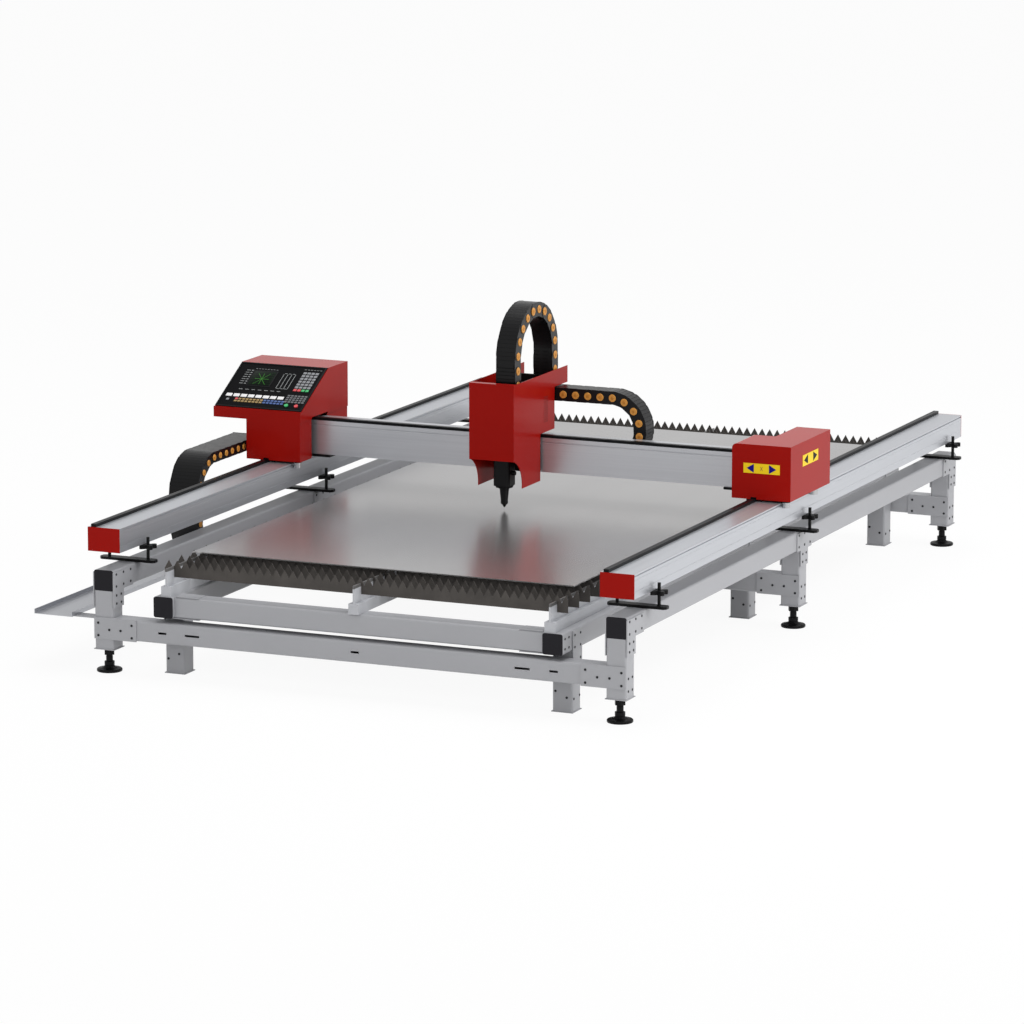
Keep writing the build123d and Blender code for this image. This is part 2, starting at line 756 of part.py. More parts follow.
def make_console():
    rear = COLUMN_Y[1]
    drop = PANEL_T / PANEL_COS
    points = [(COLUMN_Y[0], CONSOLE_Z), (COLUMN_Y[0], LIP_TOP), (PANEL_FOOT_Y, LIP_TOP)]
    points += [(PANEL_FOOT_Y, LIP_TOP - drop), (PANEL_HEAD_Y, CONSOLE_TOP - drop)]
    points += [(PANEL_HEAD_Y, CONSOLE_TOP), (rear, CONSOLE_TOP), (rear, CONSOLE_Z)]
    outline = make_face(Polyline(*points, close=True))
    t = SHEET_METAL
    low = CONSOLE_Z + t
    lip = LIP_TOP - t - drop
    slope = (CONSOLE_TOP - LIP_TOP) / (PANEL_HEAD_Y - PANEL_FOOT_Y)
    start = COLUMN_Y[0] + t
    under = lip - t / PANEL_COS
    points = [(start, low), (start, under + slope * (start - PANEL_FOOT_Y))]
    points += [(PANEL_HEAD_Y, CONSOLE_TOP - drop - t - t / PANEL_COS)]
    points += [(PANEL_HEAD_Y + t, CONSOLE_TOP - t), (rear - t, CONSOLE_TOP - t), (rear - t, low)]
    hollow = make_face(Polyline(*points, close=True))
    width = CONSOLE_X[1] - CONSOLE_X[0]
    body = Pos(CONSOLE_X[0], 0, 0) * extrude(Plane.YZ * outline, amount=width)
    body += block(COLUMN_X, COLUMN_Y, (COLUMN_Z, CONSOLE_Z))
    body -= Pos(CONSOLE_X[0] + t, 0, 0) * extrude(Plane.YZ * hollow, amount=width - 2 * t)
    shaft_x = (COLUMN_X[0] + t, COLUMN_X[1] - t)
    shaft_y = (COLUMN_Y[0] + t, COLUMN_Y[1] - t)
    body -= block(shaft_x, shaft_y, (COLUMN_Z - CUT, low + CUT))
    beside = (COLUMN_X[1] - 2 * t, CONSOLE_X[1] + CUT)
    body -= block(beside, BEAM_PASS_Y, (COLUMN_Z - CUT, BEAM_PASS_TOP))
    body -= strip_pass(RAIL_XS[0], COLUMN_Y)
    well = panel_plane() * Pos(0, BUTTON_UP, 0)
    for x in [GREEN_X, RED_X]:
        shift = Pos(x - panel_middle(), 0, -BUTTON_H)
        body -= well * shift * Cylinder(BUTTON_R + BUTTON_GAP, 3 * BUTTON_H)
    save("console_body", body)


def panel_middle():
    return (CONSOLE_X[0] + CONSOLE_X[1]) / 2


def panel_plane():
    # Lies in the outer face of the panel, with its origin at the lower edge.
    face = Plane(
        origin=(panel_middle(), PANEL_FOOT_Y, LIP_TOP),
        x_dir=(1, 0, 0),
        z_dir=(0, -PANEL_SIN, PANEL_COS),
    )
    return face.location


def make_panel():
    width = CONSOLE_X[1] - CONSOLE_X[0] - 2 * PANEL_EDGE
    long = PANEL_L - 2 * PANEL_EDGE
    sheet = Pos(0, PANEL_L / 2, -PANEL_T / 2) * Box(width, long, PANEL_T)
    for x in [GREEN_X, RED_X]:
        spot = Pos(x - panel_middle(), BUTTON_UP, 0)
        sheet -= spot * Cylinder(BUTTON_R + BUTTON_GAP, 3 * PANEL_T)
    save("control_panel", panel_plane() * sheet)
    proud = BUTTON_TRAVEL + BUTTON_PROUD
    for name, x in [("green_button", GREEN_X), ("red_button", RED_X)]:
        spot = Pos(x - panel_middle(), BUTTON_UP, proud - BUTTON_H / 2)
        save(name, panel_plane() * spot * Cylinder(BUTTON_R, BUTTON_H))


# Cover on the right end of the beam.

def cover_outline(inset):
    x0 = COVER_X[0] + inset
    x1 = COVER_X[1] - inset
    step_x = COVER_STEP_X + inset
    y0 = COVER_Y[0] + inset
    y1 = COVER_Y[1] - inset
    step_y = COVER_STEP_Y - inset
    return Polyline((x0, y0), (x1, y0), (x1, y1), (step_x, y1), (step_x, step_y), (x0, step_y), close=True)


def make_end_cover():
    t = SHEET_METAL
    outer = Pos(0, 0, COLUMN_Z) * extrude(make_face(cover_outline(0)), amount=COVER_TOP - COLUMN_Z)
    top = outer.faces().sort_by(Axis.Z)[-1].edges()
    left = [e for e in top if abs(e.center().X - COVER_X[0]) < NEAR]
    outer = fillet(left, COVER_R)
    height = COVER_TOP - t - COLUMN_Z
    hollow = extrude(make_face(cover_outline(t)), amount=height + CUT)
    inner = Pos(0, 0, COLUMN_Z - CUT) * hollow
    top = inner.faces().sort_by(Axis.Z)[-1].edges()
    left = [e for e in top if abs(e.center().X - COVER_X[0] - t) < NEAR]
    inner = fillet(left, COVER_R - t)
    shell = outer - inner
    beside = (COVER_X[0] - CUT, COVER_STEP_X + t + CUT)
    shell -= block(beside, BEAM_PASS_Y, (COLUMN_Z - CUT, BEAM_PASS_TOP))
    save("end_cover", shell - strip_pass(RAIL_XS[1], COVER_Y))


# Bracket for the moving end of the long chain and tray for the cross chain.

def make_chain_supports():
    side = COLUMN_X[0]
    left = Y_CHAIN_X - Y_CHAIN_W / 2
    ys = (Y_CHAIN_END, Y_CHAIN_END + BRACKET_L)
    low = Y_CHAIN_TOP - BRACKET_T / 2
    bracket = block((left, side), ys, (low, low + BRACKET_T))
    bracket += block((side - BRACKET_T, side), ys, (low, low + BRACKET_L))
    end_wall = (Y_CHAIN_END, Y_CHAIN_END + BRACKET_T)
    half = Y_CHAIN_H / 2
    bracket += block((left, left + Y_CHAIN_W), end_wall, (Y_CHAIN_TOP - half, Y_CHAIN_TOP + half))
    save("y_chain_bracket", bracket)
    bottom = X_CHAIN_TOP - 2 * X_CHAIN_R - X_CHAIN_H / 2
    rear = X_CHAIN_Y + X_CHAIN_W / 2 + X_TRAY_MARGIN
    tray = block(X_TRAY_X, (GB_REAR, rear), (bottom - X_TRAY_T, bottom))
    rise = (bottom - X_TRAY_T, bottom + X_TRAY_FLANGE)
    tray += block(X_TRAY_X, (rear - X_TRAY_T, rear), rise)
    save("x_chain_tray", tray)


# Head carriage: saddle, guide blocks and sheet metal hood.

def make_saddle():
    t = SHEET_METAL
    xs = (HEAD_X - HOOD_W / 2 + t, HEAD_X + HOOD_W / 2 - t)
    saddle = block(xs, (SADDLE_FRONT, SADDLE_FRONT + SADDLE_T), SADDLE_Z)
    saddle += block(xs, (SADDLE_FRONT, HOOD_MID_Y), (BRIDGE_Z, BRIDGE_Z + SADDLE_T))
    upright = (HOOD_MID_Y - UPRIGHT_T, HOOD_MID_Y)
    saddle += block(xs, upright, (BRIDGE_Z, UPRIGHT_TOP))
    end = X_CHAIN_END - CHAIN_END_GAP
    right = Z_CHAIN_X + Z_CHAIN_W / 2
    shelf = (HOOD_MID_Y - UPRIGHT_T, SHELF_REAR)
    saddle += block((end - BRACKET_T, right), shelf, (SHELF_Z, SHELF_Z + SHELF_T))
    drop = (X_CHAIN_TOP - X_CHAIN_H / 2, SHELF_Z)
    saddle += block((end - BRACKET_T, end), shelf, drop)
    rail_x = (HEAD_X - Z_RAIL_W / 2, HEAD_X + Z_RAIL_W / 2)
    saddle += block(rail_x, (SADDLE_FRONT - Z_RAIL_T, SADDLE_FRONT), Z_RAIL_Z)
    save("head_saddle", saddle)
    blocks = []
    gap = RUN_GAP
    for x in [HEAD_X - BLOCK_L / 2, HEAD_X + BLOCK_L / 2]:
        reach = BLOCK_L / 2 - BEAM_BLOCK_INSET
        ends = (x - reach, x + reach)
        front = SADDLE_FRONT + SADDLE_T
        body = block(ends, (front, GB_FRONT + 2 * STRIP_W), (GB_TOP + BLOCK_LIFT, BRIDGE_Z))
        slot = (GB_FRONT - gap, GB_FRONT + STRIP_W + gap)
        body -= block((ends[0] - CUT, ends[1] + CUT), slot, (GB_TOP, GB_TOP + STRIP_H + gap))
        blocks.append(body)
    save("beam_guide_blocks", group(blocks))


def make_hood():
    t = SHEET_METAL
    rise = HOOD_FRONT_Z - HOOD_BOTTOM
    run = HOOD_CHEEK_Y - HOOD_FRONT
    bulge = (HOOD_FRONT + HOOD_BULGE * run, HOOD_BOTTOM + HOOD_BULGE * rise)
    points = [(HOOD_FRONT, HOOD_FRONT_Z), (HOOD_FRONT, HOOD_TOP), (HOOD_REAR, HOOD_TOP)]
    points += [(HOOD_REAR, HOOD_WING_Z), (HOOD_MID_Y, HOOD_WING_Z), (HOOD_MID_Y, HOOD_STEP_Z)]
    points += [(HOOD_LOW_Y, HOOD_STEP_Z), (HOOD_LOW_Y, HOOD_BOTTOM), (HOOD_CHEEK_Y, HOOD_BOTTOM)]
    curve = ThreePointArc(points[-1], bulge, points[0])
    outline = make_face(Polyline(*points) + curve)
    cheek = extrude(Plane.YZ * outline, amount=t)
    left = HEAD_X - HOOD_W / 2
    right = HEAD_X + HOOD_W / 2
    hood = Pos(left, 0, 0) * cheek + Pos(right - t, 0, 0) * cheek
    hood += block((left, right), (HOOD_FRONT, HOOD_FRONT + t), (HOOD_FRONT_Z, HOOD_TOP))
    hood += block((left, right), (HOOD_FRONT, HOOD_FRONT + HOOD_FLANGE), (HOOD_TOP - t, HOOD_TOP))
    save("head_hood", hood)


# Vertical slide, cutting head and nozzle.

def make_head():
    xs = (HEAD_X - SLIDE_W / 2, HEAD_X + SLIDE_W / 2)
    rear = SADDLE_FRONT - SLIDE_GAP
    front = rear - SLIDE_T
    slide = block(xs, (front, rear), SLIDE_Z)
    side = Z_RAIL_W / 2 + RUN_GAP
    slot_y = (SADDLE_FRONT - Z_RAIL_T - RUN_GAP, rear + CUT)
    slot_z = (SLIDE_Z[0] - CUT, SLIDE_Z[1] + CUT)
    slide -= block((HEAD_X - side, HEAD_X + side), slot_y, slot_z)
    arm_x = (Z_CHAIN_X - Z_CHAIN_W / 2, Z_CHAIN_X + Z_CHAIN_W / 2)
    arm_y = (Z_CHAIN_Y - Z_CHAIN_R - Z_CHAIN_H / 2, front)
    slide += block(arm_x, arm_y, (SLIDE_Z[1] - SLIDE_ARM_T, SLIDE_Z[1]))
    clamp_x = (HEAD_X - HEAD_W / 2, HEAD_X + HEAD_W / 2)
    slide += block(clamp_x, (HEAD_Y + HEAD_W / 2, front), HEAD_CLAMP_Z)
    save("head_slide", slide)
    square = RectangleRounded(HEAD_W, HEAD_W, HEAD_R)
    head = Pos(HEAD_X, HEAD_Y, HEAD_Z[0]) * extrude(square, amount=HEAD_Z[1] - HEAD_Z[0])
    tall = COLLIMATOR_TOP - HEAD_Z[1]
    head += Pos(HEAD_X, HEAD_Y, HEAD_Z[1] + tall / 2) * Cylinder(COLLIMATOR_R, tall)
    cone = revolve(make_face(Plane.XZ * Polyline(*CONE_PROFILE, close=True)), Axis.Z)
    save("cutting_head", head + Pos(HEAD_X, HEAD_Y, 0) * cone)
    nozzle = revolve(make_face(Plane.XZ * Polyline(*NOZZLE_PROFILE, close=True)), Axis.Z)
    save("nozzle", Pos(HEAD_X, HEAD_Y, 0) * nozzle)


make_long_beams()
make_posts()
make_cross_beams()
make_plugs()
make_frame_plates()
make_feet()
make_rails()
make_clamps()
make_table()
make_table_plates()
make_holders()
make_slats()
make_sheet()
make_tray()
make_y_chain()
make_x_chain()
make_z_chain()
make_gantry_beam()
make_end_plates()
make_guide_blocks()
make_rollers()
make_console()
make_panel()
make_end_cover()
make_chain_supports()
make_saddle()
make_hood()
make_head()
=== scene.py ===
from cmath import rect
from math import pi, radians, sin
import bpy
import bmesh
from mathutils import Matrix, Vector


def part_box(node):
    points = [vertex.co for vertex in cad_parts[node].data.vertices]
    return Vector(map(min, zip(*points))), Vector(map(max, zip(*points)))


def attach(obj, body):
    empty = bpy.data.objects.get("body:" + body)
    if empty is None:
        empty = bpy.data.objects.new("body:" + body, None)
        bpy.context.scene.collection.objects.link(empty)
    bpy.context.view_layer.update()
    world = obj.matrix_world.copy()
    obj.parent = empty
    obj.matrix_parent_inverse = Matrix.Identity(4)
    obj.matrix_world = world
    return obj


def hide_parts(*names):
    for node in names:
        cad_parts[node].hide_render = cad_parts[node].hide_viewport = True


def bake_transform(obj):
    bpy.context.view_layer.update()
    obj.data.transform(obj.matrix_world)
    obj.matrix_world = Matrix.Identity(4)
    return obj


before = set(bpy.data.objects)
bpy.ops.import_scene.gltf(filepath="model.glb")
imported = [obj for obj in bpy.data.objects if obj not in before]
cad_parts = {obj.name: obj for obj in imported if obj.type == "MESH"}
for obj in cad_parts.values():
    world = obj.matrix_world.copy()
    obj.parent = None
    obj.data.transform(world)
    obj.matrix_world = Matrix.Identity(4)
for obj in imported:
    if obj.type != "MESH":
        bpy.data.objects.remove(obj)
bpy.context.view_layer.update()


# The welded and bolted frame under the rails, with the slat table inside it. Square steel
# tube and thin joining plates, all in a pale grey powder coat with a fine orange peel.
class Value:
    """A shader value. The operators on it add Math nodes to its shading."""

    def __init__(self, shading, socket):
        self.shading = shading
        self.socket = socket

    def math(self, operation, first, second=0.0):
        return self.shading.node("ShaderNodeMath", {"operation": operation}, {0: first, 1: second})

    def __add__(self, other):
        return self.math("ADD", self, other)

    def __sub__(self, other):
        return self.math("SUBTRACT", self, other)

    def __rsub__(self, other):
        return self.math("SUBTRACT", other, self)

    def __mul__(self, other):
        return self.math("MULTIPLY", self, other)

    def __lt__(self, other):
        return self.math("LESS_THAN", self, other)

    def __gt__(self, other):
        return self.math("GREATER_THAN", self, other)

    def part(self):
        return self.math("FRACT", self)

    def size(self):
        return self.math("ABSOLUTE", self)

    def most(self, other):
        return self.math("MAXIMUM", self, other)

    __radd__ = __add__
    __rmul__ = __mul__


class Shading:
    """A node tree. Every node that is added to it comes from the method node."""

    def __init__(self, tree):
        self.tree = tree

    def put(self, socket, value):
        if isinstance(value, Value):
            self.tree.links.new(value.socket, socket)
        else:
            socket.default_value = value

    def node(self, kind, settings, sockets, out=0):
        made = self.tree.nodes.new(kind)
        for key, value in settings.items():
            setattr(made, key, value)
        for key, value in sockets.items():
            self.put(made.inputs[key], value)
        return Value(self, made.outputs[out])


class Finish(Shading):
    """A material that is built up round its Principled shader."""

    def __init__(self, name, colour, roughness, metallic=0.0, coat=0.0):
        self.material = bpy.data.materials.new(name)
        self.material.use_nodes = True
        super().__init__(self.material.node_tree)
        self.shader = self.tree.nodes["Principled BSDF"]
        self.give("Base Color", (*colour, 1))
        self.give("Roughness", roughness)
        self.give("Metallic", metallic)
        self.give("Coat Weight", coat)
        self.material.diffuse_color = (*colour, 1)

    def give(self, name, value):
        self.put(self.shader.inputs[name], value)

    def dull(self, level):
        self.give("Specular IOR Level", level)
        return self

    def place(self, stretch=(1, 1, 1)):
        here = self.node("ShaderNodeTexCoord", {}, {}, "Object")
        return self.node("ShaderNodeMapping", {}, {"Vector": here, "Scale": stretch})

    def axis(self, name):
        here = self.node("ShaderNodeTexCoord", {}, {}, "Object")
        return self.node("ShaderNodeSeparateXYZ", {}, {0: here}, name)

    def noise(self, scale, detail=3.0, stretch=(1, 1, 1)):
        sockets = {"Vector": self.place(stretch), "Scale": scale, "Detail": detail}
        return self.node("ShaderNodeTexNoise", {}, sockets)

    def blend(self, amount, low, high):
        # A Mix node's colours are its inputs 6 and 7, and the mixed colour is its output 2.
        sockets = {0: amount, 6: (*low, 1), 7: (*high, 1)}
        return self.node("ShaderNodeMix", {"data_type": "RGBA"}, sockets, 2)

    def mottle(self, noise, low, high):
        self.give("Base Color", self.blend(noise, low, high))

    def bump(self, height, strength, distance):
        sockets = {"Height": height, "Strength": strength, "Distance": distance}
        self.give("Normal", self.node("ShaderNodeBump", {}, sockets))


def dress(finish, *names):
    for name in names:
        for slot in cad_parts[name].material_slots:
            slot.material = finish.material


powder = Finish("pale_powder_coat", (0.365, 0.368, 0.388), 0.42)
cloud = powder.noise(3.0)
powder.mottle(cloud, (0.34, 0.343, 0.362), (0.39, 0.393, 0.412))
powder.give("Roughness", cloud * 0.12 + 0.36)
powder.bump(powder.noise(900.0), 0.06, 0.0004)
dress(powder, "left_long_beam", "right_long_beam", "posts", "cross_beams", "frame_plates")
dress(powder, "left_table_tube", "right_table_tube", "table_cross_tubes", "table_legs")
dress(powder, "table_plates", "tray_arms")


# Screws that hold the joining plates on the posts, beams and legs. Low black steel heads,
# set into the plates so that they stand only a little proud.

# The new meshes are drawn about the middle of the two rails, which mid gives.
rails_low, rails_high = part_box("left_rail")[0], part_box("right_rail")[1]
mid = Vector(((rails_low[0] + rails_high[0]) / 2, (rails_low[1] + rails_high[1]) / 2, 0))


def box(name):
    low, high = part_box(name)
    return Vector(low) - mid, Vector(high) - mid


def piece(name, mesh, finishes, body, angle=35):
    data = bpy.data.meshes.new(name)
    bmesh.ops.translate(mesh, verts=mesh.verts, vec=mid)
    mesh.to_mesh(data)
    mesh.free()
    data.shade_smooth()
    data.set_sharp_from_angle(angle=radians(angle))
    for finish in finishes:
        data.materials.append(finish.material)
    made = bpy.data.objects.new(name, data)
    bpy.context.scene.collection.objects.link(made)
    if body:
        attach(made, body)
    return made


def disc(mesh, spot, facing, radius, depth, sides=16, finish=0):
    # A short cylinder whose outer face looks along facing.
    turn = Vector((0, 0, 1)).rotation_difference(Vector(facing)).to_matrix().to_4x4()
    made = bmesh.ops.create_cone(
        mesh, cap_ends=True, segments=sides, radius1=radius, radius2=radius * 0.9,
        depth=depth, matrix=Matrix.Translation(spot) @ turn,
    )
    for face in {face for vert in made["verts"] for face in vert.link_faces}:
        face.material_index = finish


SCREW_R = 0.005
SCREW_PROUD = 0.0014
PLATE = 0.004
screw_black = Finish("screw_black", (0.012, 0.012, 0.014), 0.5).dull(0.3)
screws = bmesh.new()


def screw(spot, facing):
    disc(screws, spot, facing, SCREW_R, SCREW_PROUD * 2)


beams_low, beams_high = box("cross_beams")
tube = beams_high[2] - beams_low[2]
post_fronts = [beams_low[1], -tube / 2, beams_high[1] - tube]
beam_mid = (beams_low[2] + beams_high[2]) / 2
outer = beams_high[0] + tube
# Plates across the beam ends: how far in from the outer wall, and up from the beam's middle.
END_SCREWS = [(inward, up) for inward in (0.0165, 0.152) for up in (0.019, -0.027)]
END_SCREWS += [(0.061, -0.004), (0.107, -0.004)]
for front in post_fronts:
    for side in (-1, 1):
        for inward, up in END_SCREWS:
            screw((side * (outer - inward), front - PLATE, beam_mid + up), (0, -1, 0))
# Side plates of the posts: two rows under the long beam, then two columns down the post,
# all as a step back from the post's front and a height.
BEAM_STEPS = ((0.02, 0.075, 0.13), (0.038, -0.02, 0.096), (0.056, 0.0, -0.055))
POST_STEPS = (0.02, 0.056)
for front, steps in zip(post_fronts, BEAM_STEPS):
    upper = [(step, up) for step in steps for up in (0.318, 0.362)]
    upper += [(step, up) for step in POST_STEPS for up in (0.255, 0.285)]
    lower = [(step, up) for step in POST_STEPS for up in (0.115, 0.16)]
    for side in (-1, 1):
        for step, up in upper:
            screw((side * (outer + PLATE), front + step, up), (side, 0, 0))
            screw((side * (outer - tube - PLATE), front + step, up), (-side, 0, 0))
        for step, up in lower:
            screw((side * outer, front + step, up), (side, 0, 0))
# Legs of the slat table: two screws in front, two on the outer wall and six in its plate.
LEG_MIDS = (-1.607, 0.095, 1.611)
LEG_INSET = 0.003
legs_high = box("table_legs")[1]
for middle in LEG_MIDS:
    front = middle - tube / 2
    for side in (-1, 1):
        leg_x = side * (legs_high[0] - tube / 2 - LEG_INSET)
        wall = leg_x + side * tube / 2
        for across, up in ((-0.026, 0.0645 + side * 0.0105), (0.017, 0.064 - side * 0.01)):
            screw((leg_x + across, front, up), (0, -1, 0))
        for along, up in ((0.014, 0.049), (0.064, 0.053)):
            screw((wall, front + along, up), (side, 0, 0))
        for along in (-0.025, 0.025):
            for up in (0.19, 0.235, 0.278):
                screw((wall + side * PLATE, middle + along, up), (side, 0, 0))
# Ends of the table tubes: four screws on the outer wall at each end.
tubes_low, tubes_high = box("right_table_tube")
for inset in (0.02, 0.055):
    for along in (tubes_low[1] + inset, tubes_high[1] - inset):
        for up in (0.243, 0.279):
            for side in (-1, 1):
                screw((side * tubes_high[0], along, up), (side, 0, 0))
piece("plate_screws", screws, [screw_black], "machine")


# Plugs in the open tube ends. Injection moulded in black plastic with a faint grain, and
# pressed into the tubes.
plug_black = Finish("plug_black", (0.0125, 0.0118, 0.015), 0.55).dull(0.15)
plug_black.bump(plug_black.noise(1400.0), 0.15, 0.0004)
dress(plug_black, "tube_end_plugs")


# Levelling feet, lock nuts, rail clamps and star knobs. Feet and clamps of blackened steel,
# the feet turned on a lathe, and moulded knobs. The clamp studs carry a thread, drawn as fine
# rings round them.
oxide = Finish("black_oxide", (0.0055, 0.0055, 0.006), 0.38, 0.1).dull(0.12)
oxide.give("Roughness", oxide.noise(60.0) * 0.2 + 0.28)
dress(oxide, "foot_lock_nuts", "clamp_plates")
thread = Finish("threaded_black", (0.0065, 0.0065, 0.007), 0.35, 0.2).dull(0.15)
THREADS_PER_METRE = 500
ring = (thread.axis("Z") * THREADS_PER_METRE).part() - 0.5
thread.bump(ring.size(), 0.6, 0.0012)
dress(thread, "clamp_studs")
knob_black = Finish("knob_black", (0.0065, 0.0065, 0.007), 0.45).dull(0.12)
knob_black.bump(knob_black.noise(800.0), 0.12, 0.0004)
# Half of the foot's section, from the middle of its sole outwards and up to the stem's end.
FOOT_R = 0.0465
NECK_R = 0.0165
NUT_R = 0.0185
COLLAR_R = 0.0125
STEM_R = 0.0113
STEM_TOP = 0.11
outline = [(0, 0), (0.045, 0), (FOOT_R, 0.002), (FOOT_R, 0.008), (0.044, 0.0105), (0.03, 0.012)]
outline += [(0.021, 0.017), (NECK_R, 0.023), (NUT_R, 0.0235), (NUT_R, 0.036)]
outline += [(COLLAR_R, 0.0375), (COLLAR_R, 0.056)]
outline += [(STEM_R, 0.057), (STEM_R, STEM_TOP), (0, STEM_TOP)]
corners = [place + side for place in ("front", "middle", "rear") for side in ("_left", "_right")]
for corner in corners:
    dress(oxide, corner + "_foot")
    dress(knob_black, corner + "_knob")
    foot = bmesh.new()
    line = [foot.verts.new((across, 0, up)) for across, up in outline]
    edges = [foot.edges.new(pair) for pair in zip(line, line[1:])]
    bmesh.ops.spin(
        foot, geom=line + edges, cent=(0, 0, 0), axis=(0, 0, 1), angle=2 * pi,
        steps=36, use_merge=True,
    )
    bmesh.ops.remove_doubles(foot, verts=foot.verts, dist=1e-6)
    bmesh.ops.recalc_face_normals(foot, faces=foot.faces)
    low, high = box(corner + "_foot")
    middle = ((low[0] + high[0]) / 2, (low[1] + high[1]) / 2, 0)
    bmesh.ops.translate(foot, verts=foot.verts, vec=middle)
    turned = piece(corner + "_foot_turned", foot, [oxide], corner + "_foot")
    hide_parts(corner + "_foot")


# Rails and gantry beam, drawn in aluminium and satin anodised, with the fine lines that the
# die leaves along them. Black guide strips are fixed on both, and bright steel rollers run
# beside the rails.
def drawn(name, along, low, high):
    finish = Finish(name, low, 0.32, 0.75)
    stretch = tuple(1.5 if axis == along else 180 for axis in "XYZ")
    streak = finish.noise(1.0, 4.0, stretch)
    finish.mottle(streak, low, high)
    finish.give("Roughness", streak * 0.14 + 0.27)
    return finish


rail_metal = drawn("rail_aluminium", "Y", (0.50, 0.515, 0.55), (0.60, 0.615, 0.65))
# Two fine grooves along the rail's side: height and half width.
RAIL_LINES = ((0.511, 0.0012), (0.470, 0.001))
height = rail_metal.axis("Z")
lines = sum((height - up).size() < half for up, half in RAIL_LINES)
rail_metal.bump(lines * -1.0, 1.0, 0.004)
dress(rail_metal, "left_rail", "right_rail")
beam_metal = drawn("beam_aluminium", "X", (0.50, 0.51, 0.54), (0.60, 0.61, 0.64))
BEAM_SEAM = 0.6675
SEAM_HALF = 0.0022
seam = (beam_metal.axis("Z") - BEAM_SEAM).size() < SEAM_HALF
beam_metal.bump(seam * -1.0, 0.6, 0.003)
dress(beam_metal, "gantry_beam", "x_chain_tray")
tray_metal = drawn("tray_zinc", "Y", (0.42, 0.43, 0.46), (0.52, 0.53, 0.56))
dress(tray_metal, "chain_tray")
strip_black = Finish("guide_strip_black", (0.0065, 0.007, 0.008), 0.3, 0.1).dull(0.08)
strip_black.give("Roughness", strip_black.noise(40.0, 3.0, (1, 0.1, 1)) * 0.25 + 0.2)
dress(strip_black, "rail_guide_strips", "beam_guide_strip", "end_plates", "rail_guide_blocks")
dress(strip_black, "beam_guide_blocks", "y_chain_bracket", "head_saddle")
roller_steel = Finish("roller_steel", (0.50, 0.50, 0.51), 0.3, 0.9)
roller_steel.give("Roughness", roller_steel.noise(50.0) * 0.2 + 0.2)
for corner in ("front_left", "front_right", "rear_left", "rear_right"):
    dress(roller_steel, corner + "_roller")


# Holders and support slats. The holders are folded and painted, and their coat is darkened
# above a line near the tips of their combs. The slats are plasma-cut strips of raw steel,
# browned and spattered, that stand loose in the slots of the combs.
holder_coat = Finish("holder_coat", (0.44, 0.45, 0.48), 0.45)
# Above this height the coat is mixed almost to black, which darkens the tips of the combs.
DARK_TIP_LINE = 0.391
comb_tip_darkening = holder_coat.noise(8.0) * 0.15 + (holder_coat.axis("Z") > DARK_TIP_LINE) * 0.8
holder_coat.mottle(comb_tip_darkening, (0.50, 0.51, 0.54), (0.05, 0.045, 0.04))
dress(holder_coat, "slat_holders")
slat_steel = Finish("slat_steel", (0.06, 0.055, 0.05), 0.55, 0.3).dull(0.3)
scorch = slat_steel.noise(14.0, 5.0)
slat_steel.mottle(scorch, (0.036, 0.032, 0.029), (0.105, 0.095, 0.087))
slat_steel.give("Roughness", scorch * 0.3 + 0.4)
slat_steel.bump(slat_steel.noise(220.0, 4.0), 0.25, 0.0008)
dress(slat_steel, "slats")
SLATS = 35
SLAT_THICK = 0.003
TEETH = 48
TOOTH_PITCH = 0.033
TOOTH_TALL = 0.029
slats_low, slats_high = box("slats")
left, right = slats_low[0], slats_high[0]
tip = slats_high[2]
last_tip = left + (TEETH - 0.5) * TOOTH_PITCH
right_cut = tip - (right - last_tip) * TOOTH_TALL / (TOOTH_PITCH / 2)
outline = [(left, slats_low[2]), (right, slats_low[2]), (right, right_cut)]
for tooth in range(TEETH):
    tip_x = last_tip - tooth * TOOTH_PITCH
    outline += [(tip_x, tip), (tip_x - TOOTH_PITCH / 2, tip - TOOTH_TALL)]
slats = bmesh.new()
slat_step = (slats_high[1] - slats_low[1] - SLAT_THICK) / (SLATS - 1)
for number in range(SLATS):
    front = slats_low[1] + number * slat_step
    flat = slats.faces.new([slats.verts.new((across, front, up)) for across, up in outline])
    made = bmesh.ops.extrude_face_region(slats, geom=[flat])["geom"]
    moved = [item for item in made if isinstance(item, bmesh.types.BMVert)]
    bmesh.ops.translate(slats, verts=moved, vec=(0, SLAT_THICK, 0))
bmesh.ops.recalc_face_normals(slats, faces=slats.faces)
cut_slats = piece("cut_slats", slats, [slat_steel], "machine", 30)
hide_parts("slats")


# The sheet to be cut. Cold rolled steel with a dull mill finish, faintly clouded along
# its length, that mirrors the beam and the cutting head softly.
sheet_steel = Finish("rolled_sheet", (0.51, 0.50, 0.495), 0.235, 0.85)
mill = sheet_steel.noise(1.0, 1.0, (5, 0.8, 1))
sheet_steel.mottle(mill, (0.445, 0.438, 0.438), (0.50, 0.494, 0.494))
dress(sheet_steel, "steel_sheet")


# Console, end cover and head hood, folded from thin sheet, with the caps on the rail
# ends. All in the same deep red gloss coat.
red_coat = Finish("red_gloss_coat", (0.32, 0.004, 0.002), 0.35, 0.0, 1.0).dull(0.05)
red_coat.give("Coat IOR", 1.08)
red_coat.give("Coat Roughness", 0.1)
sag = red_coat.noise(5.0)
red_coat.mottle(sag, (0.295, 0.004, 0.002), (0.335, 0.006, 0.003))
red_coat.bump(red_coat.noise(700.0), 0.03, 0.0003)
dress(red_coat, "console_body", "end_cover", "head_hood", "rail_end_caps")


# Control panel on the sloping face of the console. A black faceplate with a bevelled rim,
# a screen, rows of moulded keys and two round push buttons.
panel_black = Finish("panel_black", (0.0035, 0.0036, 0.0042), 0.4).dull(0.04)
dress(panel_black, "control_panel")
